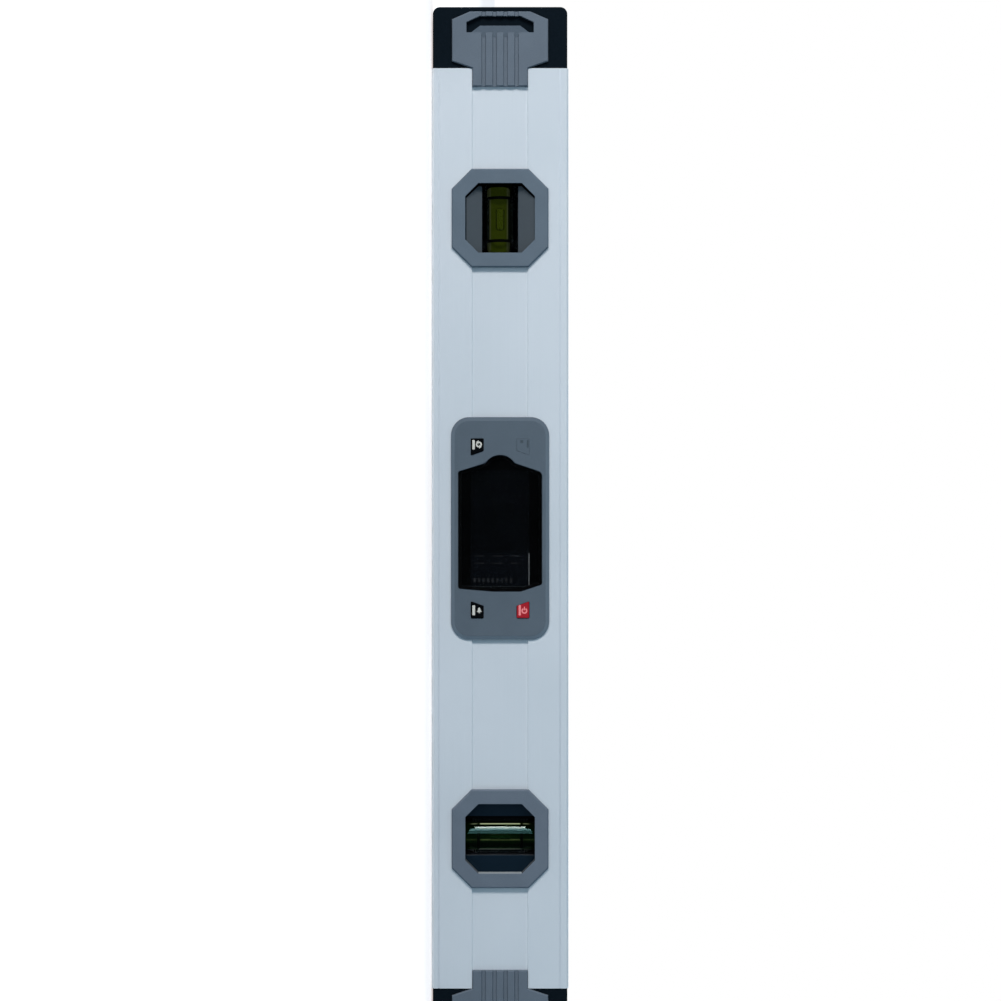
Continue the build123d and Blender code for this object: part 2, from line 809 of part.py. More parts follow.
def back_housing():
    """The rear shell: rails for the door, battery bay, skirt and screw posts."""
    outline = module_outline(bezel_length, bezel_height, bezel_corner)
    housing = slab(outline, back, back_face)
    housing = chamfer(housing.faces().sort_by(Axis.Y)[-1].edges(), band_drop)
    skirt = module_outline(skirt_length, skirt_height, skirt_corner)
    skirt_front = back - back_skirt_depth
    housing += slab(skirt, skirt_front, back) - slab(inner_outline(0), skirt_front, back)
    housing += slab(bay_outline(bay_wall), bay_front, back)
    for x in (-post_x, post_x):
        housing += rod(x, mid, post_diameter, post_front, back)
    housing -= slab(bay_outline(0), bay_floor, back_face)
    slot_start = -door_end - running
    slot_end = bezel_half + running
    slot = extrude(Plane.YZ.offset(slot_start) * door_section(running, slot_floor), slot_end - slot_start)
    housing -= slot
    for x in (-post_x, post_x):
        housing -= rod(x, mid, screw_diameter + 2 * fit, post_front, back_face)
        housing -= rod(x, mid, screw_head_diameter + 2 * fit, head_seat, back_face)
    for z in contact_rows():
        leg = Pos(bay_half_length - contact_thickness / 2, z)
        leg_hole = Rectangle(contact_thickness + 2 * fit, contact_leg_width + 2 * fit)
        housing -= slab(leg * leg_hole, bay_front, bay_floor)
    return housing


def contact_rows():
    """The heights of the two cells."""
    return mid - cell_pitch / 2, mid + cell_pitch / 2


def housing_screws():
    tip = boss_back - screw_grip
    sizes = (screw_diameter, screw_head_diameter, screw_head_height)
    return [screw(x, mid, *sizes, head_seat, tip) for x in (-post_x, post_x)]


def battery_door():
    """The sliding door, with finger grooves near its outer end."""
    door = extrude(Plane.YZ.offset(-door_end) * door_section(0, door_inner), bezel_half + door_end)
    door &= slab(module_outline(bezel_length, bezel_height, bezel_corner), back, back_face)
    for i in range(door_groove_count):
        x = bezel_half - door_groove_margin + (i - (door_groove_count - 1) / 2) * door_groove_pitch
        groove = Pos(x, mid) * SlotOverall(door_half_height, door_groove_width, rotation=90)
        door -= slab(groove, back_face - door_groove_depth, back_face)
    return door


def battery_cell(z, end):
    """A cell with its nub towards one end of the bay."""
    body_half = cell_length / 2
    shoulder = body_half - cell_nub_length
    radius = cell_diameter / 2
    nub = cell_nub_diameter / 2
    outline = polygon(
        (-body_half, 0),
        (-body_half, radius - cell_edge),
        (-body_half + cell_edge, radius),
        (shoulder - cell_edge, radius),
        (shoulder, radius - cell_edge),
        (shoulder, nub),
        (body_half, nub),
        (body_half, 0),
    )
    turn = 0 if end > 0 else 180
    return Pos(end * cell_shift, cell_y, z) * Rot(0, 0, turn) * turned(outline)


def contact_plate(z, end, height, half_width):
    """A sheet contact against an end wall of the bay."""
    x = end * (bay_half_length - contact_thickness / 2)
    return Pos(x, bay_floor + height / 2, z) * Box(contact_thickness, height, 2 * half_width)


def bump(z, end):
    """The raised middle of a contact, which the cell's nub meets."""
    x = end * (bay_half_length - contact_thickness - (bump_height - film) / 2)
    return Pos(x, cell_y, z) * Rot(0, 90, 0) * Cylinder(bump_diameter / 2, bump_height - film)


def battery_link():
    """The contact that joins both cells at the closed end of the bay."""
    upper = cell_y - bay_floor + contact_height / 2
    low, high = contact_rows()
    return contact_plate(mid, -1, upper, (high - low + contact_height) / 2) + bump(high, -1)


def battery_contacts():
    """The two contacts at the other end, each with a leg down to the board."""
    upper = cell_y - bay_floor + contact_height / 2
    low, high = contact_rows()
    plates = []
    for z in (low, high):
        plate = contact_plate(z, 1, upper, contact_height / 2)
        leg_length = bay_floor - board_back - film
        x = bay_half_length - contact_thickness / 2
        leg = Box(contact_thickness, leg_length, contact_leg_width)
        plates.append(plate + Pos(x, bay_floor - leg_length / 2, z) * leg)
    plates[0] += bump(low, 1)
    return plates


def battery_springs():
    """The bowed leaf springs between the contacts and the flat ends of the cells."""
    reach = spring_space - 2 * film
    half = spring_height / 2
    foot = half - spring_foot
    crown = ThreePointArc((0, -half), (reach, 0), (0, half))
    hollow = ThreePointArc((0, foot), (reach - spring_thickness, 0), (0, -foot))
    bow = make_face([crown, Line((0, half), (0, foot)), hollow, Line((0, -foot), (0, -half))])
    leaf = extrude(bow, spring_width / 2, both=True)
    start = bay_half_length - contact_thickness - film
    low, high = contact_rows()
    springs = []
    for z, end in ((low, -1), (high, 1)):
        turn = 0 if end < 0 else 180
        springs.append(Pos(end * start, cell_y, z) * Rot(0, 0, turn) * leaf)
    return springs


nodes = {"box_profile": box_profile()}

right_cap = end_cap()
right_plate = end_plate()
nodes["end_cap_right"] = right_cap
nodes["end_cap_left"] = mirror(right_cap, Plane.YZ)
nodes["end_plate_right_front"] = right_plate
nodes["end_plate_right_back"] = mirror(right_plate, Plane.XZ)
nodes["end_plate_left_front"] = mirror(right_plate, Plane.YZ)
nodes["end_plate_left_back"] = mirror(nodes["end_plate_right_back"], Plane.YZ)

# The level vial lies along the level, the plumb vial stands across it
for vial, place_x, turn, panel in (("level", -vial_x, 0, level_panel), ("plumb", vial_x, 90, plumb_panel)):
    vial_axis = vial_place(place_x, turn)
    nodes[vial + "_vial_frame"] = vial_frame(place_x, turn, panel)
    nodes[vial + "_vial_cover"] = vial_cover(place_x, turn)
    nodes[vial + "_vial_tube"] = vial_axis * vial_tube()
    nodes[vial + "_vial_plug"] = vial_axis * vial_plug()
    nodes[vial + "_vial_rings"] = [vial_axis * ring for ring in vial_rings()]
    nodes[vial + "_vial_liquid"] = vial_axis * vial_liquid()
    nodes[vial + "_vial_bubble"] = vial_axis * vial_bubble()

nodes["display_bezel"] = display_bezel()
nodes["display_lens"] = display_lens()
nodes["lens_gasket"] = lens_gasket()
nodes["lcd_frame"] = lcd_frame()
nodes["lcd_glass"] = lcd_glass()
nodes["light_guide"] = light_guide()
nodes["connector_strip"] = connector_strip()
nodes["circuit_board"] = circuit_board()
nodes["board_screws"] = board_screws()
nodes["tilt_sensor"] = tilt_sensor()
nodes["controller_chip"] = controller_chip()
nodes["buzzer"] = buzzer()
nodes["key_switches"] = key_switches()
for name, (end, side) in key_corners.items():
    form = (flush_rise, flush_edge) if name == flush_key else (key_rise, key_edge)
    nodes[name + "_key"] = key(end, side, *form)
    nodes[name + "_plunger"] = plunger(end, side)

nodes["back_housing"] = back_housing()
nodes["housing_screws"] = housing_screws()
nodes["battery_door"] = battery_door()
cell_low, cell_high = contact_rows()
nodes["battery_cell_1"] = battery_cell(cell_low, 1)
nodes["battery_cell_2"] = battery_cell(cell_high, -1)
nodes["battery_link"] = battery_link()
nodes["battery_contacts"] = battery_contacts()
nodes["battery_springs"] = battery_springs()

for name, shape in nodes.items():
    solids = shape if isinstance(shape, list) else [shape]
    export_step(Compound(children=solids), f"parts/{name}.step")
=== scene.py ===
import bmesh
import bpy
import math
from mathutils import Matrix, Vector


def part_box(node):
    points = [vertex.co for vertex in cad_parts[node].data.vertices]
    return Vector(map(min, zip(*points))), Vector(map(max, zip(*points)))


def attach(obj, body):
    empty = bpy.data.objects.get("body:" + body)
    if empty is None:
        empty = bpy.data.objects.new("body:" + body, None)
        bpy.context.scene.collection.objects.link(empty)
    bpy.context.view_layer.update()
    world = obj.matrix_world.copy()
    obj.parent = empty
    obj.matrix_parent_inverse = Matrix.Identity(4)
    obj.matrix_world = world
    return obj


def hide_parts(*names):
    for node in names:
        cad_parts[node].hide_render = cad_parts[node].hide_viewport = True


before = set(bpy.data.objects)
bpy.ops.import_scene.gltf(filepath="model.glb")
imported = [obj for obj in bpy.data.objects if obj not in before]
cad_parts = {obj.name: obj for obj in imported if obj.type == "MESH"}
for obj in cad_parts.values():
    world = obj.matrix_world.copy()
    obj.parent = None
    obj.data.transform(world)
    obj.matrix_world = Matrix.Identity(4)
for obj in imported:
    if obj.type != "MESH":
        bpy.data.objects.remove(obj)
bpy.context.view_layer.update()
mm = 0.001


# Rail. The body of the level is an aluminium box section, extruded, blasted fine and anodised a pale
# blue-grey. The die leaves faint lines along it, the measuring face below is milled, and handling
# rubs the long edges. The channel's edges and the grooves towards the left end are painted lighter,
# painted light that offsets their shade, and the faces turned down are painted lighter as a painted
# highlight.

class Wire:
    """The output of a shader node. A sum written with wires adds its Math nodes."""

    def __init__(self, tree, socket):
        self.tree = tree
        self.socket = socket

    def node(self, kind, settings, sockets, output=0):
        """Adds a node: its settings first, then the values or wires of its sockets."""
        made = self.tree.nodes.new(kind)
        for setting, value in settings.items():
            setattr(made, setting, value)
        for socket, value in sockets.items():
            if isinstance(value, Wire):
                self.tree.links.new(value.socket, made.inputs[socket])
            else:
                made.inputs[socket].default_value = value
        return Wire(self.tree, made.outputs[output])

    def math(self, operation, *values):
        return self.node("ShaderNodeMath", {"operation": operation}, dict(enumerate(values)))

    def __add__(self, other):
        return self.math("ADD", self, other)

    def __radd__(self, other):
        return self.math("ADD", other, self)

    def __sub__(self, other):
        return self.math("SUBTRACT", self, other)

    def __rsub__(self, other):
        return self.math("SUBTRACT", other, self)

    def __mul__(self, other):
        return self.math("MULTIPLY", self, other)

    def __rmul__(self, other):
        return self.math("MULTIPLY", other, self)

    def __abs__(self):
        return self.math("ABSOLUTE", self)

    def larger(self, other):
        return self.math("MAXIMUM", self, other)

    def fade(self, start, end):
        """0 up to start, 1 from end on, smooth between them."""
        ends = {"Value": self, "From Min": start, "From Max": end}
        return self.node("ShaderNodeMapRange", {"interpolation_type": "SMOOTHSTEP"}, ends)

    def mix(self, first, second):
        """The first colour where this wire is 0, the second where it is 1."""
        colours = {0: self, 6: first, 7: second}
        return self.node("ShaderNodeMix", {"data_type": "RGBA"}, colours, output=2)


class Finish:
    """A finish: the shader's own values, then what varies from place to place."""

    def __init__(self, name, look):
        self.material = bpy.data.materials.new(name)
        self.material.use_nodes = True
        self.tree = self.material.node_tree
        self.shader = self.tree.nodes["Principled BSDF"]
        for socket, value in look.items():
            self.shader.inputs[socket].default_value = value
        coordinates = self.tree.nodes.new("ShaderNodeTexCoord")
        self.place = Wire(self.tree, coordinates.outputs["Object"])
        self.x, self.y, self.z = self.axes(self.place)
        self.facing = Wire(self.tree, coordinates.outputs["Normal"])

    def axes(self, vector):
        return [vector.node("ShaderNodeSeparateXYZ", {}, {0: vector}, axis) for axis in range(3)]

    def noise(self, size, stretch=(1, 1, 1), detail=2.0):
        """Noise with spots of about that size, drawn out along an axis where stretch is below 1."""
        scale = tuple(s / size for s in stretch)
        spread = self.place.node("ShaderNodeMapping", {}, {"Vector": self.place, "Scale": scale})
        return spread.node("ShaderNodeTexNoise", {}, {"Vector": spread, "Scale": 1.0, "Detail": detail})

    def feed(self, socket, wire):
        self.tree.links.new(wire.socket, self.shader.inputs[socket])

    def colour(self, wire):
        self.tint = wire
        self.feed("Base Color", wire)

    def repaint(self, mask, colour):
        """Another colour where the mask is 1."""
        self.colour(mask.mix(self.tint, colour))

    def bump(self, height, depth):
        raised = height.node("ShaderNodeBump", {}, {"Strength": 1.0, "Distance": depth, "Height": height})
        self.feed("Normal", raised)


def dress(finish, *nodes):
    """Gives CAD nodes their finish."""
    for node in nodes:
        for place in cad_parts[node].material_slots:
            place.material = finish.material


rail_low, rail_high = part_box("box_profile")
rail_mid = (rail_low + rail_high) / 2
rail_skin = Finish("anodised_rail", {"Metallic": 0.2, "Specular IOR Level": 0.4})
die_lines = rail_skin.noise(0.3 * mm, stretch=(0.002, 1, 1), detail=3)
blasting = rail_skin.noise(0.2 * mm)
clouds = rail_skin.noise(45 * mm, detail=1)
rail_tone = 0.2 * die_lines + 0.2 * blasting + 0.6 * clouds
rail_grey = (0.603, 0.68, 0.77, 1)
rail_pale = (0.63, 0.705, 0.796, 1)
rail_skin.colour(rail_tone.fade(0.4, 0.6).mix(rail_grey, rail_pale))
off_mid = abs(rail_skin.z - rail_mid.z)
channel_edge = 10.4 * mm
# The channel's edges are painted lighter: painted light that offsets the shade of the step.
step = 1 - abs(off_mid - channel_edge).fade(0.1 * mm, 0.7 * mm)
channel_edge_painted_light = (0.67, 0.75, 0.835, 1)
rail_skin.repaint(step, channel_edge_painted_light)
low_line_height = 2.7 * mm
high_line_height = 49.2 * mm
# The grooves are painted lighter towards the left end: painted light that offsets their shade.
low_line = 1 - abs(rail_skin.z - low_line_height).fade(0.25 * mm, 0.5 * mm)
high_line = 1 - abs(rail_skin.z - high_line_height).fade(0.25 * mm, 0.5 * mm)
left_part = 1 - rail_skin.x.fade(rail_low.x, rail_high.x / 2)
groove_painted_light = (0.67, 0.75, 0.84, 1)
rail_skin.repaint(left_part * low_line.larger(high_line), groove_painted_light)
# Faces turned down are painted lighter: a painted highlight.
downward = (-1 * rail_skin.axes(rail_skin.facing)[2]).fade(0.15, 0.7)
downward_painted_highlight = (0.88, 0.93, 1.0, 1)
rail_skin.repaint(downward, downward_painted_highlight)
rub_reach = 1.3 * mm
rub_core = 0.3 * mm
near_side = abs(rail_skin.y).fade(rail_high.y - rub_reach, rail_high.y - rub_core)
near_rail_face = off_mid.fade(rail_mid.z - rub_reach, rail_mid.z - rub_core)
rub = rail_skin.noise(14 * mm, detail=4).fade(0.42, 0.62)
rubbed_grey = (0.7, 0.75, 0.79, 1)
rail_skin.repaint(0.5 * near_side * near_rail_face * rub, rubbed_grey)
rail_skin.feed("Roughness", 0.4 + 0.06 * die_lines)
rail_skin.bump(0.3 * die_lines + 0.7 * blasting, 0.004 * mm)
dress(rail_skin, "box_profile")


# End caps. Black moulded nylon, each pushed into an end of the rail with a hollow plug. The mould is
# spark-eroded, which leaves a fine matt grain.

cap_skin = Finish("black_cap", {"Specular IOR Level": 0.03})
cap_grain = cap_skin.noise(0.45 * mm, detail=3)
cap_dark = (0.0032, 0.0065, 0.0105, 1)
cap_light = (0.0045, 0.0082, 0.0132, 1)
cap_skin.colour(cap_grain.fade(0.35, 0.65).mix(cap_dark, cap_light))
cap_skin.feed("Roughness", 0.42 + 0.2 * cap_grain)
cap_skin.bump(cap_grain, 0.03 * mm)
dress(cap_skin, "end_cap_left", "end_cap_right")


# End plates. Blue-grey moulded grips, ribbed lengthwise, pegged into pockets in the caps. A tongue
# lies in the rail's channel.

def grey_plastic(name, shade, shine=0.15, warmth=1.0):
    """The satin blue-grey of the mouldings, darker or lighter by a factor, with more or less red."""
    skin = Finish(name, {"Specular IOR Level": shine})
    grain = skin.noise(0.4 * mm, detail=3)
    flow = skin.noise(11 * mm)
    dark = tuple(shade * c for c in (0.094 * warmth, 0.125, 0.163)) + (1,)
    light = tuple(shade * c for c in (0.106 * warmth, 0.141, 0.183)) + (1,)
    skin.colour((0.6 * grain + 0.4 * flow).fade(0.36, 0.64).mix(dark, light))
    skin.feed("Roughness", 0.44 + 0.16 * grain)
    skin.bump(grain, 0.02 * mm)
    return skin


plate_skin = grey_plastic("grey_plate", 0.985, warmth=1.04)
dress(plate_skin, "end_plate_left_front", "end_plate_right_front")
dress(plate_skin, "end_plate_left_back", "end_plate_right_back")


# Vial housings. Each is an octagonal grey frame, pinned to a cover from behind through the cut-out in
# the rail. Slanted panels lead down to the vial. The panels are painted darker as painted shade, and
# the upright walls, the space behind the vial and the cover's inside are painted near-black as painted
# shade. In the plumb vial's frame the walls turned to -X are painted pale as a painted highlight and a
# painted shadow lies by the tube, and in the level vial's frame a painted shadow runs along the left
# and lower edges of the opening.

# Near-black painted shade for the walls, recesses and insides of the vial housings.
recess_painted_shade = (0.0012, 0.0016, 0.0024, 1)
housings = {
    "level": {
        "shade": 1.0,
        "warmth": 1.0,
        "panel": (0.056, 0.07, 0.085, 1),
        "left_panel": (0.056, 0.07, 0.085, 1),
        "wall": recess_painted_shade,
        "floor": 3.2 * mm,
    },
    "plumb": {
        "shade": 1.06,
        "warmth": 1.05,
        "panel": (0.0045, 0.0115, 0.021, 1),
        "left_panel": (0.0125, 0.024, 0.039, 1),
        "wall": (0.25, 0.29, 0.33, 1),
        "floor": 4.8 * mm,
    },
}
frame_shine = 0.03
panel_half = 14.2 * mm
tube_shadow_reach = 8.1 * mm
for vial, look in housings.items():
    frame_low, frame_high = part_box(vial + "_vial_frame")
    frame_skin = grey_plastic(vial + "_frame_grey", look["shade"], frame_shine, look["warmth"])
    depth = frame_skin.y - frame_low.y
    frame_middle = (frame_low + frame_high) / 2
    to_left = frame_middle.x - frame_skin.x
    above = frame_skin.z - frame_middle.z
    off_middle = abs(to_left).larger(abs(above))
    inside = (1 - off_middle.fade(panel_half, panel_half + 0.2 * mm)) * depth.fade(0.12 * mm, 0.2 * mm)
    facing_x, facing_y = frame_skin.axes(frame_skin.facing)[:2]
    upright = 1 - abs(facing_y).fade(0.1, 0.3)
    left_half = to_left.fade(0, 0.1 * mm)
    # The panels are painted darker as painted shade, the left ones of the plumb vial less dark.
    frame_skin.repaint(inside, look["panel"])
    frame_skin.repaint(inside * left_half, look["left_panel"])
    if vial == "plumb":
        # A painted shadow lies on the plumb vial's left panel next to the tube.
        near_tube_shadow = left_half * (1 - to_left.fade(tube_shadow_reach - 0.15 * mm, tube_shadow_reach + 0.15 * mm))
        frame_skin.repaint(inside * near_tube_shadow, recess_painted_shade)
    # Upright walls are painted near-black as painted shade, and those turned to -X take the wall colour: a
    # painted highlight in the plumb vial.
    frame_skin.repaint(inside * upright, recess_painted_shade)
    frame_skin.repaint(inside * upright * (-1 * facing_x).fade(0.55, 1.0), look["wall"])
    # Beyond the floor depth everything is painted near-black as painted shade.
    frame_skin.repaint(depth.fade(look["floor"], look["floor"] + 0.1 * mm), recess_painted_shade)
    if vial == "level":
        # In the level vial a painted shadow runs along the left and lower edges of the opening and the
        # corners between.
        left_edge_shadow = to_left.fade(12.4 * mm, 12.6 * mm)
        corner_shadow = (to_left + abs(above)).fade(20.6 * mm, 20.9 * mm)
        lower_edge_shadow = (-1 * above).fade(12.85 * mm, 13.0 * mm)
        frame_skin.repaint(inside * left_edge_shadow.larger(corner_shadow).larger(lower_edge_shadow), recess_painted_shade)
    dress(frame_skin, vial + "_vial_frame")
    cover_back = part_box(vial + "_vial_cover")[1].y
    cover_skin = grey_plastic(vial + "_cover_grey", look["shade"], frame_shine, look["warmth"])
    # The cover's inside is painted near-black as painted shade.
    inner_face = (-1 * cover_skin.axes(cover_skin.facing)[1]).fade(0.5, 0.7)
    before_plate = (cover_back - cover_skin.y).fade(1.3 * mm, 1.5 * mm)
    cover_skin.repaint(inner_face.larger(before_plate), recess_painted_shade)
    dress(cover_skin, vial + "_vial_cover")


# Vials. A clear acrylic bar, tapered at both ends and polished, holds a barrel-shaped bore with dyed
# liquid, an air bubble and two black rings. The bar is drawn without the bore's wall, because the
# liquid bends light as the acrylic does. The liquid glows as painted light, with bright lines, a
# lighter streak and darker sides painted on, and the bubble's rim is painted dark as painted shade.

def turn_round(outline, place, steps, front=1.0):
    """Turns (distance along the axis, radius) points about the X axis of a place, cut flat in front."""
    made = bmesh.new()
    rings = []
    for along, radius in outline:
        count = steps if radius > 0 else 1
        ring = []
        for i in range(count):
            angle = 2 * math.pi * i / count
            forward = min(-radius * math.cos(angle), front)
            spot = Vector((along, -forward, radius * math.sin(angle)))
            ring.append(made.verts.new(place @ spot))
        rings.append(ring)
    for near, far in zip(rings, rings[1:]):
        for i in range(steps):
            j = (i + 1) % steps
            corners = [near[i % len(near)], near[j % len(near)], far[j % len(far)], far[i % len(far)]]
            made.faces.new(list(dict.fromkeys(corners)))
    bmesh.ops.recalc_face_normals(made, faces=made.faces)
    return made


def piece_of(name, made, finish, sharp=35):
    """A finished piece from a bmesh, smooth except at edges sharper than an angle."""
    mesh = bpy.data.meshes.new(name)
    made.to_mesh(mesh)
    made.free()
    mesh.materials.append(finish.material)
    mesh.shade_smooth()
    mesh.set_sharp_from_angle(angle=math.radians(sharp))
    piece = bpy.data.objects.new(name, mesh)
    bpy.context.scene.collection.objects.link(piece)
    return piece


def arc(middle_along, middle_radius, size, start, end, steps):
    """Points of an outline's rounded edge, from one angle to another in degrees."""
    points = []
    for i in range(steps + 1):
        angle = math.radians(start + (end - start) * i / steps)
        points.append((middle_along + size * math.cos(angle), middle_radius + size * math.sin(angle)))
    return points


def both_ways(half_outline):
    """A half outline, from the middle to one end, completed on the other side."""
    return [(-along, radius) for along, radius in reversed(half_outline)] + half_outline


def along_and_across(skin, middle, vial):
    """Distances from the middle of a vial, along its tube and across it."""
    off_x = skin.x - middle.x
    off_z = skin.z - middle.z
    return (off_x, off_z) if vial == "level" else (off_z, off_x)


tube_straight = 9.5 * mm
tube_taper = 1.2 * mm
taper_blend = 0.25 * mm
tube_round = 0.35 * mm
bore_round = 1.3 * mm
ring_half = 8.25 * mm
liquids = {
    "level": {
        "dark": (0.017, 0.025, 0.001, 1),
        "light": (0.02, 0.029, 0.0015, 1),
        "side": (0.001, 0.0015, 0.0005, 1),
        "painted_shade": (0.017, 0.025, 0.001, 1),
        "painted_light_streak": (0.02, 0.029, 0.0015, 1),
        "edge": (0.032, 0.039, 0.016, 1),
        "barrel": 0.2 * mm,
        "bulge": 1.5,
        "line": (0.0, 0.0, 0.0, 1),
        "mark": (0.002, 0.002, 0.002, 1),
        "painted_glow": 0.45,
        "front": 1.4 * mm,
        "widen": 1.0,
        "shorten": 1.1 * mm,
        "shift": Vector((0, 0, -0.4 * mm)),
    },
    "plumb": {
        "dark": (0.0008, 0.0065, 0.0008, 1),
        "light": (0.0014, 0.0085, 0.0012, 1),
        "side": (0.012, 0.022, 0.004, 1),
        "painted_shade": (0.0003, 0.002, 0.0003, 1),
        "painted_light_streak": (0.085, 0.125, 0.045, 1),
        "edge": (0.0012, 0.0075, 0.001, 1),
        "barrel": 0.02 * mm,
        "bulge": 1.0,
        "line": (5.5, 6.2, 3.6, 1),
        "mark": (0.001, 0.004, 0.001, 1),
        "painted_glow": 0.1,
        "front": 0.9 * mm,
        "widen": 1.16,
        "shorten": 0.0,
        "shift": Vector((0, 0, 0)),
    },
}
for vial, look in liquids.items():
    acrylic_look = {"Transmission Weight": 1.0, "IOR": 1.49, "Specular Tint": (0.84, 1.0, 0.93, 1)}
    acrylic = Finish(vial + "_clear_acrylic", acrylic_look)
    polish = acrylic.noise(8 * mm, detail=1)
    acrylic.colour(polish.fade(0.3, 0.7).mix((0.945, 0.985, 0.96, 1), (0.955, 0.995, 0.97, 1)))
    acrylic.feed("Roughness", 0.01 + 0.01 * polish)
    ring_skin = Finish(vial + "_ring_black", {"Specular IOR Level": 0.0})
    ring_grain = ring_skin.noise(0.3 * mm)
    ring_skin.colour(ring_grain.mix((0.001, 0.001, 0.001, 1), look["mark"]))
    ring_skin.feed("Roughness", 0.6 + 0.2 * ring_grain)
    dress(ring_skin, vial + "_vial_rings")

    tube_low, tube_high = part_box(vial + "_vial_tube")
    tube_middle = (tube_low + tube_high) / 2
    tube_half = max(tube_high.x - tube_low.x, tube_high.z - tube_low.z) / 2
    tube_radius = (tube_high.y - tube_low.y) / 2
    turn = 0 if vial == "level" else 90
    vial_place = Matrix.Translation(tube_middle) @ Matrix.Rotation(math.radians(turn), 4, "Y")
    tube_end = tube_radius - tube_taper
    glass_half = [
        (tube_straight - taper_blend, tube_radius),
        (tube_straight, tube_radius - 0.005 * mm),
        (tube_straight + taper_blend, tube_radius - 0.035 * mm),
        (tube_half - 2 * tube_round, tube_end + 0.05 * mm),
        *arc(tube_half - tube_round, tube_end - tube_round, tube_round, 80, 0, 5),
        (tube_half, 0),
    ]
    glass = piece_of(vial + "_vial_glass", turn_round(both_ways(glass_half), vial_place, 96), acrylic)
    glass.visible_shadow = False
    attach(glass, "level")
    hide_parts(vial + "_vial_tube", vial + "_vial_plug")

    liquid_low, liquid_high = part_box(vial + "_vial_liquid")
    liquid_half = max(liquid_high.x - liquid_low.x, liquid_high.z - liquid_low.z) / 2 - look["shorten"]
    bore_radius = look["widen"] * min(liquid_high.x - liquid_low.x, liquid_high.z - liquid_low.z) / 2
    # The liquid glows with its own colour: a painted glow.
    liquid_look = {"Transmission Weight": 0.5, "IOR": 1.0, "Emission Strength": look["painted_glow"]}
    liquid_skin = Finish(vial + "_liquid", liquid_look)
    swirl = liquid_skin.noise(3 * mm, detail=1)
    liquid_skin.colour(swirl.fade(0.35, 0.65).mix(look["dark"], look["light"]))
    liquid_middle = tube_middle + look["shift"]
    along, across = along_and_across(liquid_skin, liquid_middle, vial)
    flat_half = math.sqrt(bore_radius ** 2 - look["front"] ** 2)
    side = abs(across).fade(flat_half - 0.05 * mm, flat_half + 0.05 * mm)
    # A lighter streak and a darker side are painted across the liquid as painted light and shade, and a
    # band along the flat front's edges takes another colour.
    painted_light_streak = across.fade(0.7 * mm, 0.95 * mm) * (1 - across.fade(1.0 * mm, 1.3 * mm))
    off_rings = abs(abs(along) - ring_half).fade(0.4 * mm, 0.7 * mm)
    between = 1 - 0.6 * abs(along).fade(ring_half, ring_half + 0.3 * mm)
    liquid_skin.repaint(painted_light_streak * off_rings * between, look["painted_light_streak"])
    liquid_skin.repaint(across.fade(1.5 * mm, 2.2 * mm), look["painted_shade"])
    liquid_skin.repaint(abs(across).fade(flat_half - 0.5 * mm, flat_half - 0.35 * mm), look["edge"])
    # The curved sides are painted: dark in the level vial as painted shade, yellow-green in the plumb vial
    # as painted light.
    liquid_skin.repaint(side * between, look["side"])
    # Bright lines along the plumb liquid's edges glow as painted light.
    behind_front = liquid_skin.y - tube_middle.y + look["front"]
    strip = behind_front.fade(0.2 * mm, 0.3 * mm) * (1 - behind_front.fade(0.6 * mm, 0.75 * mm))
    past_rings = abs(along).fade(8.3 * mm, 8.8 * mm)
    near_ends = abs(along).fade(10.0 * mm, 11.5 * mm)
    far_side = across.fade(0, 0.1 * mm)
    painted_glow_lines = side * strip * off_rings * (1 - 0.75 * past_rings)
    painted_glow_lines = painted_glow_lines * (1 - near_ends) * (1 - 0.93 * far_side)
    liquid_skin.feed("Emission Color", painted_glow_lines.mix(liquid_skin.tint, look["line"]))
    liquid_skin.feed("Roughness", 0.05 * swirl)
    barrel = []
    barrel_steps = 8
    for i in range(barrel_steps + 1):
        distance = (liquid_half - bore_round) * i / barrel_steps
        barrel.append((distance, bore_radius - look["barrel"] * (distance / liquid_half) ** 2))
    shoulder = barrel[-1][1] - bore_round
    barrel += arc(liquid_half - bore_round, shoulder, bore_round, 80, 0, 7) + [(liquid_half, 0)]
    drop_place = Matrix.Translation(look["shift"]) @ vial_place
    drop = turn_round(both_ways(barrel[1:]), drop_place, 64, front=look["front"])
    liquid = piece_of(vial + "_vial_green", drop, liquid_skin, 30)
    liquid.visible_shadow = False
    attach(liquid, "level")
    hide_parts(vial + "_vial_liquid")

    bubble_low, bubble_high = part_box(vial + "_vial_bubble")
    bubble_radius = (bubble_high.y - bubble_low.y) / 2
    bubble_half = max(bubble_high.x - bubble_low.x, bubble_high.z - bubble_low.z) / 2
    bubble_middle = (bubble_low + bubble_high) / 2
    bubble_place = Matrix.Translation(bubble_middle) @ Matrix.Rotation(math.radians(turn), 4, "Y")
    air = Finish(vial + "_air", {"Specular IOR Level": 0.05, "Roughness": 0.1})
    along, across = along_and_across(air, bubble_middle, vial)
    bubble_side = look["bulge"] * bubble_radius
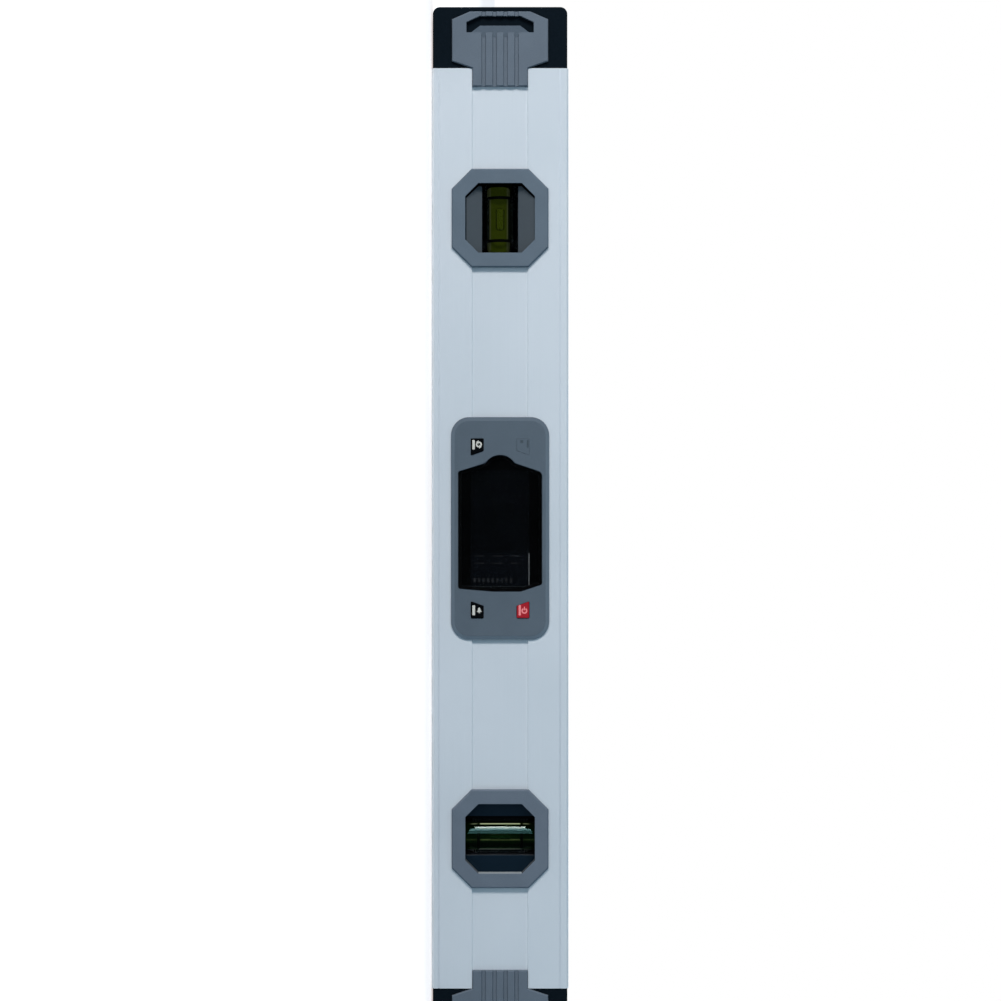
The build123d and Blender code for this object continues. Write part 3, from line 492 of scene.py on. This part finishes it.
    # The bubble's rim is painted dark as painted shade.
    air_side = abs(across).fade(0.72 * bubble_side, 0.85 * bubble_side)
    air_end = abs(along).fade(bubble_half - 0.5 * bubble_radius, bubble_half - 0.3 * bubble_radius)
    air_rim = air_side.larger(air_end)
    air_shade = air.noise(1.5 * mm, detail=1)
    air_light = tuple(1.8 * c for c in look["light"][:3]) + (1,)
    air.colour(air_shade.mix(look["light"], air_light))
    rim_painted_shade = (0.004, 0.0065, 0.001, 1)
    air.repaint(air_rim, rim_painted_shade)
    air.feed("Alpha", 0.4 + 0.4 * air_rim)
    dome = arc(bubble_half - bubble_radius, 0, bubble_radius, 90, 9, 9) + [(bubble_half, 0)]
    flattened = bubble_place @ Matrix.Diagonal((1, 1, look["bulge"], 1))
    bubble = piece_of(vial + "_air", turn_round(both_ways(dome), flattened, 32), air, 60)
    bubble.visible_shadow = False
    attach(bubble, vial + "_bubble")
    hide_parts(vial + "_vial_bubble")


# Display shell. The grey moulded front of the digital module, drawn against the rail by screws from
# the rear shell. Its sloped rim is painted lighter on the side turned to +X, as painted light.

shell_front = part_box("display_bezel")[0].y
shell_skin = grey_plastic("display_shell_grey", 0.83)
shell_depth = shell_skin.y - shell_front
rim = shell_depth.fade(0.01 * mm, 0.08 * mm) * (1 - shell_depth.fade(1.3 * mm, 1.5 * mm))
# The rim is painted lighter on the side turned to +X: painted light.
painted_light_side = shell_skin.axes(shell_skin.facing)[0].fade(-0.4, 0.4)
rim_grey = (0.085, 0.113, 0.147, 1)
rim_painted_light = (0.13, 0.172, 0.22, 1)
shell_skin.repaint(rim, painted_light_side.mix(rim_grey, rim_painted_light))
dress(shell_skin, "display_bezel")


# Window. A polished acrylic lens, tinted nearly black. It lies in the shell's recess, glued on a
# rubber ring.

lens_skin = Finish("black_lens", {"Specular IOR Level": 0.3, "Alpha": 0.32})
lens_haze = lens_skin.noise(16 * mm, detail=3)
lens_dark = (0.0004, 0.0005, 0.0007, 1)
lens_light = (0.0012, 0.0014, 0.0018, 1)
lens_skin.colour(lens_haze.fade(0.3, 0.7).mix(lens_dark, lens_light))
lens_skin.feed("Roughness", 0.03 + 0.04 * lens_haze)
dress(lens_skin, "display_lens")

rubber = Finish("black_rubber", {"Specular IOR Level": 0.2})
rubber_grain = rubber.noise(0.3 * mm, detail=3)
rubber.colour(rubber_grain.mix((0.004, 0.004, 0.0045, 1), (0.009, 0.009, 0.01, 1)))
rubber.feed("Roughness", 0.7 + 0.2 * rubber_grain)
dress(rubber, "lens_gasket", "connector_strip")


# Display. A dark liquid-crystal panel in a black frame, with a polarising film on top. The film's cut
# edge and far edge are painted bright as painted highlights, and the segments show faintly while the
# display is off.

panel_skin = Finish("display_panel", {"Specular IOR Level": 0.3})
panel_cloud = panel_skin.noise(9 * mm)
panel_skin.colour(panel_cloud.fade(0.3, 0.7).mix((0.003, 0.004, 0.0055, 1), (0.006, 0.0075, 0.01, 1)))
panel_skin.feed("Roughness", 0.15 + 0.1 * panel_cloud)
dress(panel_skin, "lcd_glass")
holder_skin = Finish("display_holder", {"Specular IOR Level": 0.1})
holder_grain = holder_skin.noise(0.4 * mm, detail=3)
holder_skin.colour(holder_grain.mix((0.001, 0.001, 0.0012, 1), (0.003, 0.003, 0.0034, 1)))
holder_skin.feed("Roughness", 0.6 + 0.2 * holder_grain)
dress(holder_skin, "lcd_frame")
guide_skin = Finish("light_guide_clear", {"Transmission Weight": 0.6, "IOR": 1.49})
guide_haze = guide_skin.noise(2 * mm)
guide_skin.colour(guide_haze.mix((0.7, 0.75, 0.75, 1), (0.85, 0.9, 0.9, 1)))
guide_skin.feed("Roughness", 0.3 + 0.2 * guide_haze)
dress(guide_skin, "light_guide")


def plate_between(low, high, edge):
    """A plate between two corners, with all its edges rounded off."""
    made = bmesh.new()
    bmesh.ops.create_cube(made, size=1.0)
    size = high - low
    middle = (low + high) / 2
    bmesh.ops.scale(made, vec=size, verts=made.verts)
    bmesh.ops.translate(made, vec=middle, verts=made.verts)
    bmesh.ops.bevel(made, geom=made.edges, offset=edge, segments=2, affect="EDGES", profile=0.6)
    bmesh.ops.recalc_face_normals(made, faces=made.faces)
    return made


film_gap = 0.01 * mm
film_thickness = 0.2 * mm
film_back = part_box("lcd_frame")[0].y - film_gap
film_front = film_back - film_thickness
view_low, view_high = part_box("light_guide")
film_low = Vector((view_low.x, film_front, view_low.z))
film_high = Vector((view_high.x, film_back, view_high.z))
film_skin = Finish("polarising_film", {"Specular IOR Level": 0.2, "Roughness": 0.3})
film_haze = film_skin.noise(7 * mm)
film_skin.colour(film_haze.fade(0.3, 0.7).mix((0.004, 0.005, 0.0075, 1), (0.008, 0.01, 0.014, 1)))
film_skin.repaint(0.8 * film_skin.x.fade(8 * mm, 12 * mm), (0.014, 0.017, 0.026, 1))
# Bright lines painted on the film's edges are painted highlights.
cut_edge = film_skin.z.fade(film_high.z - 0.42 * mm, film_high.z - 0.36 * mm)
lit_run = film_skin.x.fade(9.4 * mm, 9.8 * mm)
far_edge_highlight = film_skin.x.fade(film_high.x - 0.4 * mm, film_high.x - 0.3 * mm)
cut_edge_highlight = cut_edge * lit_run
film_skin.repaint(far_edge_highlight, (0.06, 0.075, 0.085, 1))
film_skin.repaint(cut_edge_highlight, (0.42, 0.45, 0.47, 1))
film_skin.feed("Alpha", 0.35 + 0.6 * cut_edge_highlight + 0.4 * far_edge_highlight)
film = piece_of("polarising_film", plate_between(film_low, film_high, 0.06 * mm), film_skin)
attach(film, "level")

bar_tree = bpy.data.node_groups.new("row_of_bars", "GeometryNodeTree")
bar_sockets = {"Count": "Int", "First": "Vector", "Step": "Vector", "Bar": "Vector", "Finish": "Material"}
bar_inputs = {}
for label, kind in bar_sockets.items():
    made_socket = bar_tree.interface.new_socket(label, in_out="INPUT", socket_type="NodeSocket" + kind)
    bar_inputs[label] = made_socket.identifier
bar_tree.interface.new_socket("Bars", in_out="OUTPUT", socket_type="NodeSocketGeometry")
entry = bar_tree.nodes.new("NodeGroupInput")
line = bar_tree.nodes.new("GeometryNodeMeshLine")
block = bar_tree.nodes.new("GeometryNodeMeshCube")
copies = bar_tree.nodes.new("GeometryNodeInstanceOnPoints")
real = bar_tree.nodes.new("GeometryNodeRealizeInstances")
paint = bar_tree.nodes.new("GeometryNodeSetMaterial")
leave = bar_tree.nodes.new("NodeGroupOutput")
for source, target in (
    (entry.outputs["Count"], line.inputs["Count"]),
    (entry.outputs["First"], line.inputs["Start Location"]),
    (entry.outputs["Step"], line.inputs["Offset"]),
    (entry.outputs["Bar"], block.inputs["Size"]),
    (line.outputs["Mesh"], copies.inputs["Points"]),
    (block.outputs["Mesh"], copies.inputs["Instance"]),
    (copies.outputs["Instances"], real.inputs["Geometry"]),
    (real.outputs["Geometry"], paint.inputs["Geometry"]),
    (entry.outputs["Finish"], paint.inputs["Material"]),
    (paint.outputs["Geometry"], leave.inputs["Bars"]),
):
    bar_tree.links.new(source, target)


def row_of_bars(name, count, first, step, bar, finish):
    """A row of like bars from the node tree, as a plain mesh."""
    piece = bpy.data.objects.new(name, bpy.data.meshes.new(name))
    bpy.context.scene.collection.objects.link(piece)
    row = piece.modifiers.new("row", "NODES")
    row.node_group = bar_tree
    values = {"Count": count, "First": first, "Step": step, "Bar": bar, "Finish": finish.material}
    for label, value in values.items():
        row[bar_inputs[label]] = value
    evaluated = piece.evaluated_get(bpy.context.evaluated_depsgraph_get())
    piece.data = bpy.data.meshes.new_from_object(evaluated)
    piece.modifiers.remove(row)
    return piece


segment_skin = Finish("unlit_segments", {"Specular IOR Level": 0.2, "Roughness": 0.5, "Alpha": 0.5})
segment_cloud = segment_skin.noise(3 * mm)
segment_dark = (0.04, 0.043, 0.05, 1)
segment_light = (0.11, 0.114, 0.125, 1)
segment_skin.colour(segment_cloud.fade(0.35, 0.65).mix(segment_dark, segment_light))
segment_y = film_front - 0.02 * mm
segment_depth = 0.03 * mm
bar_size = (1.6 * mm, segment_depth, 0.9 * mm)
bar_step = (0, 0, 1.75 * mm)
digit_size = (0.4 * mm, segment_depth, 3.6 * mm)
digit_step = (0, 0, 7.0 * mm)
rows = {
    "bar_segments": (9, (19.9 * mm, segment_y, 16.4 * mm), bar_step, bar_size),
    "digit_tops": (3, (10.6 * mm, segment_y, 18.2 * mm), digit_step, digit_size),
    "digit_feet": (3, (13.4 * mm, segment_y, 18.2 * mm), digit_step, digit_size),
}
for label, (count, first, step, bar) in rows.items():
    segments = row_of_bars(label, count, first, step, bar, segment_skin)
    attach(segments, "level")


# Circuit board. Green glass-epoxy with copper tracks under the lacquer, screwed to the shell. It
# carries the tilt sensor, the controller, the buzzer and the four key switches.

board_skin = Finish("board_green", {"Specular IOR Level": 0.5})
weave = board_skin.noise(0.5 * mm)
tracks = board_skin.noise(4 * mm, stretch=(0.3, 1, 1)).math("PINGPONG", 12 * board_skin.noise(9 * mm), 1.0)
board_skin.colour(weave.mix((0.008, 0.06, 0.022, 1), (0.012, 0.085, 0.032, 1)))
board_skin.repaint(0.6 * tracks.fade(0.8, 0.9), (0.03, 0.16, 0.05, 1))
board_skin.feed("Roughness", 0.3 + 0.15 * weave)
dress(board_skin, "circuit_board")

package = Finish("chip_black", {"Specular IOR Level": 0.3})
package_grain = package.noise(0.25 * mm, detail=3)
package.colour(package_grain.mix((0.006, 0.006, 0.006, 1), (0.014, 0.014, 0.015, 1)))
package.feed("Roughness", 0.5 + 0.2 * package_grain)
package.bump(package_grain, 0.02 * mm)
dress(package, "tilt_sensor", "controller_chip", "buzzer", "key_switches")
dress(package, "mode_plunger", "unit_plunger", "alarm_plunger", "power_plunger")

steel = Finish("plated_steel", {"Metallic": 1.0})
steel_lines = steel.noise(0.25 * mm, stretch=(1, 0.05, 1), detail=3)
steel.colour(steel_lines.mix((0.42, 0.42, 0.41, 1), (0.6, 0.6, 0.58, 1)))
steel.feed("Roughness", 0.25 + 0.2 * steel_lines)
dress(steel, "board_screws", "housing_screws", "battery_link", "battery_contacts", "battery_springs")


# Keys. Four moulded caps, two black ones and a red one a little proud of the shell and a grey one
# nearly flush with it. Their marks are printed on.

def key_skin(name, dark, light, shine):
    skin = Finish(name, {"Specular IOR Level": shine})
    grain = skin.noise(0.3 * mm, detail=3)
    skin.colour(grain.fade(0.35, 0.65).mix(dark, light))
    skin.feed("Roughness", 0.4 + 0.2 * grain)
    skin.bump(grain, 0.015 * mm)
    return skin


black_key = key_skin("black_key", (0.0016, 0.002, 0.003, 1), (0.003, 0.004, 0.0055, 1), 0.04)
red_key = key_skin("red_key", (0.3, 0.007, 0.015, 1), (0.36, 0.01, 0.02, 1), 0.3)
dress(black_key, "mode_key", "alarm_key")
dress(red_key, "power_key")
dress(grey_plastic("grey_key", 0.83), "unit_key")


def print_skin(name, dark, light):
    """Printing ink, a little uneven."""
    skin = Finish(name, {"Specular IOR Level": 0.2})
    cover = skin.noise(0.25 * mm, detail=3)
    skin.colour(cover.fade(0.3, 0.6).mix(dark, light))
    skin.feed("Roughness", 0.5 + 0.2 * cover)
    return skin


white_ink = print_skin("white_ink", (0.4, 0.41, 0.4, 1), (0.56, 0.57, 0.55, 1))
pink_ink = print_skin("pink_ink", (0.66, 0.17, 0.19, 1), (0.8, 0.24, 0.26, 1))
grey_ink = print_skin("grey_ink", (0.035, 0.048, 0.066, 1), (0.06, 0.08, 0.1, 1))


def band(middle, inner, outer, start, end, steps=20):
    """The outline of a curved band, from one angle to another in degrees."""
    ways = [math.radians(start + (end - start) * i / steps) for i in range(steps + 1)]
    far = [(middle[0] + outer * math.cos(w), middle[1] + outer * math.sin(w)) for w in ways]
    near = [(middle[0] + inner * math.cos(w), middle[1] + inner * math.sin(w)) for w in reversed(ways)]
    return far + near


def pill(low_x, high_x, low_z, high_z, corner):
    """The outline of an upright bar with rounded corners."""
    outline = []
    for x, z, start in (
        (high_x - corner, high_z - corner, 0),
        (low_x + corner, high_z - corner, 90),
        (low_x + corner, low_z + corner, 180),
        (high_x - corner, low_z + corner, 270),
    ):
        for i in range(5):
            angle = math.radians(start + 90 * i / 4)
            outline.append((x + corner * math.cos(angle), z + corner * math.sin(angle)))
    return outline


def printed(name, outlines, face, finish):
    """Outlines in X and Z, in millimetres, raised a hair from a key's face."""
    made = bmesh.new()
    for outline in outlines:
        front = [made.verts.new((x * mm, face - 0.01 * mm, z * mm)) for x, z in outline]
        back = [made.verts.new((x * mm, face + 0.02 * mm, z * mm)) for x, z in outline]
        made.faces.new(front)
        made.faces.new(list(reversed(back)))
        for i in range(len(front)):
            j = (i + 1) % len(front)
            made.faces.new((front[j], front[i], back[i], back[j]))
    bmesh.ops.recalc_face_normals(made, faces=made.faces)
    bmesh.ops.triangulate(made, faces=[f for f in made.faces if len(f.verts) > 4])
    return piece_of(name, made, finish)


ring_middle = (-32.1, 18.1)
mode_marks = [
    pill(-33.8, -30.2, 15.6, 16.55, 0.25),
    band(ring_middle, 0.6, 1.15, 55, 190),
    band(ring_middle, 0.6, 1.15, 235, 370),
    [(-33.75, 17.95), (-32.2, 17.95), (-32.95, 17.05)],
    [(-32.0, 18.25), (-30.45, 18.25), (-31.25, 19.15)],
]
bell_half = [(30.25, 0.12), (30.5, 0.4), (31.2, 0.5), (31.6, 0.75), (31.95, 0.95)]
bell_z = 18.25
alarm_marks = [
    pill(29.4, 33.2, 15.6, 16.65, 0.25),
    [(x, bell_z - half) for x, half in bell_half] + [(x, bell_z + half) for x, half in reversed(bell_half)],
    band((32.05, bell_z), 0.02, 0.32, -85, 85, 10),
]
power_marks = [
    pill(29.3, 33.3, 33.3, 34.15, 0.25),
    band((31.5, 35.5), 0.6, 1.15, -150, 150),
    pill(29.95, 31.3, 35.3, 35.7, 0.15),
]
unit_marks = [
    pill(-33.8, -32.6, 33.9, 35.1, 0.2),
    pill(-33.8, -30.9, 36.4, 37.1, 0.2),
]
for key, marks, ink in (
    ("mode", mode_marks, white_ink),
    ("alarm", alarm_marks, white_ink),
    ("power", power_marks, pink_ink),
    ("unit", unit_marks, grey_ink),
):
    key_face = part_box(key + "_key")[0].y
    mark = printed(key + "_mark", marks, key_face, ink)
    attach(mark, key + "_button")


# Rear shell and battery door. Grey mouldings like the front. The shell holds the battery bay and is
# screwed to the front shell through the rail, and the door slides off along the level.

rear_skin = grey_plastic("rear_shell_grey", 0.9)
dress(rear_skin, "back_housing")
door_skin = grey_plastic("battery_door_grey", 0.96)
dress(door_skin, "battery_door")


# Cells. Two dry cells in plain printed sleeves, with a copper-coloured band at the end with the nub.
# They lie head to tail in the bay, between contacts and springs.

for cell, nub_end in (("battery_cell_1", 1), ("battery_cell_2", -1)):
    cell_low, cell_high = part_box(cell)
    cell_middle = (cell_low + cell_high) / 2
    sleeve = Finish(cell + "_sleeve", {"Metallic": 0.6})
    along = nub_end * (sleeve.x - cell_middle.x)
    print_lines = sleeve.noise(0.3 * mm, stretch=(0.05, 1, 1), detail=3)
    sleeve.colour(print_lines.mix((0.018, 0.02, 0.024, 1), (0.035, 0.038, 0.044, 1)))
    cell_half = cell_high.x - cell_middle.x
    sleeve.repaint(along.fade(0.45 * cell_half, 0.46 * cell_half), (0.55, 0.28, 0.12, 1))
    sleeve.repaint(abs(along).fade(cell_half - 1.5 * mm, cell_half - 1.3 * mm), (0.6, 0.6, 0.58, 1))
    sleeve.feed("Roughness", 0.3 + 0.15 * print_lines)
    dress(sleeve, cell)


# Studio. The level stands on a wide pale floor in plain soft light, seen from the front with its left
# end up. A soft box stands towards that end and another behind. Three lamps light nothing but the
# plumb vial's glass, which mirrors them.

floor_half = 8.0
floor_height = -0.1 * mm
floor_ways = [(-1, -1), (1, -1), (1, 1), (-1, 1)]
floor_corners = [(x * floor_half, y * floor_half, floor_height) for x, y in floor_ways]
floor_mesh = bpy.data.meshes.new("floor")
floor_mesh.from_pydata(floor_corners, [], [(0, 1, 2, 3)])
floor = bpy.data.objects.new("floor", floor_mesh)
bpy.context.scene.collection.objects.link(floor)
floor_skin = Finish("pale_floor", {"Roughness": 0.9, "Specular IOR Level": 0.0, "Emission Strength": 1.0})
floor_cloud = floor_skin.noise(0.6, detail=1)
floor_skin.colour(floor_cloud.mix((0.8, 0.8, 0.8, 1), (0.84, 0.84, 0.84, 1)))
rays = floor_skin.tree.nodes.new("ShaderNodeLightPath")
seen = Wire(floor_skin.tree, rays.outputs["Is Camera Ray"])
floor_glow = (0.6, 0.54, 0.53, 1)
floor_skin.feed("Emission Color", seen.mix((0, 0, 0, 1), floor_glow))
floor_mesh.materials.append(floor_skin.material)
floor.visible_glossy = False
floor.visible_transmission = False
floor.visible_shadow = False

world = bpy.data.worlds.new("studio")
world.use_nodes = True
bpy.context.scene.world = world
sky = world.node_tree
rays = sky.nodes.new("ShaderNodeLightPath")
camera_ray = Wire(sky, rays.outputs["Is Camera Ray"])
mirror_ray = Wire(sky, rays.outputs["Is Glossy Ray"]) + Wire(sky, rays.outputs["Is Transmission Ray"])
mirror_ray = mirror_ray.fade(0, 1)
way = Wire(sky, sky.nodes.new("ShaderNodeTexCoord").outputs["Generated"])
toward_back = way.node("ShaderNodeSeparateXYZ", {}, {0: way}, 1).fade(0.3, 0.8)
fill = 0.42
fill_tint = (0.72, 1.03, 1.2, 1)
mirrored = 0.02 + 0.98 * toward_back
strength = camera_ray + (1 - camera_ray) * (mirror_ray * mirrored + (1 - mirror_ray) * fill)
sky.links.new(strength.socket, sky.nodes["Background"].inputs["Strength"])
tint = camera_ray.mix(fill_tint, (1, 1, 1, 1))
sky.links.new(tint.socket, sky.nodes["Background"].inputs["Color"])


def soft_box(name, place, aim, width, height, power, colour):
    lamp = bpy.data.lights.new(name, "AREA")
    lamp.shape = "RECTANGLE"
    lamp.size = width
    lamp.size_y = height
    lamp.energy = power
    lamp.color = colour
    stand = bpy.data.objects.new(name, lamp)
    stand.location = place
    stand.rotation_euler = (Vector(aim) - Vector(place)).to_track_quat("-Z", "Y").to_euler()
    stand.visible_transmission = False
    bpy.context.scene.collection.objects.link(stand)
    return stand


front_middle = (0, -0.012, 0.026)
back_middle = (0, 0.012, 0.026)
warm_white = (1.0, 0.9, 0.82)
near_white = (1.0, 0.98, 0.95)
key_box = soft_box("key_box", (-1.21, -0.99, 0.06), front_middle, 0.3, 1.3, 27.5, warm_white)
key_box.visible_glossy = False
back_box = soft_box("back_box", (0.6, 1.3, 0.7), back_middle, 0.8, 0.8, 19.0, near_white)
back_box.visible_glossy = False
sheens = {
    "bright_strip": (63.5, 0.34, 0.7, 10.0, (1.0, 1.0, 1.0)),
    "pale_sheet": (51.0, 0.32, 4.0, 21.0, (0.5, 0.9, 1.0)),
    "dim_sheet": (33.5, 0.61, 4.0, 10.0, (0.4, 0.9, 1.0)),
}
lit_vial = bpy.data.collections.new("lit_vial")
lit_vial.objects.link(bpy.data.objects["plumb_vial_glass"])
sheen_aim = Vector((0.119, -0.012, 0.026))
sheen_distance = 1.5
for name, (degrees, width, height, power, colour) in sheens.items():
    angle = math.radians(degrees)
    away = sheen_distance * Vector((-math.sin(angle), -math.cos(angle), 0))
    sheen = soft_box(name, sheen_aim + away, sheen_aim, width, height, power, colour)
    sheen.visible_diffuse = False
    sheen.light_linking.receiver_collection = lit_vial

camera_distance = 0.75
view_width = 383.5 * mm
view_middle = Vector((-10.67 * mm, rail_low.y, 26.36 * mm))
camera_data = bpy.data.cameras.new("camera")
sensor_width = 36.0
camera_data.sensor_width = sensor_width
camera_data.lens = sensor_width * camera_distance / view_width
camera = bpy.data.objects.new("camera", camera_data)
turned_up = Matrix(((0, -1, 0, 0), (0, 0, -1, 0), (1, 0, 0, 0), (0, 0, 0, 1)))
camera.matrix_world = Matrix.Translation(view_middle - Vector((0, camera_distance, 0))) @ turned_up
bpy.context.scene.collection.objects.link(camera)
bpy.context.scene.camera = camera
bpy.context.scene.view_settings.view_transform = "Standard"
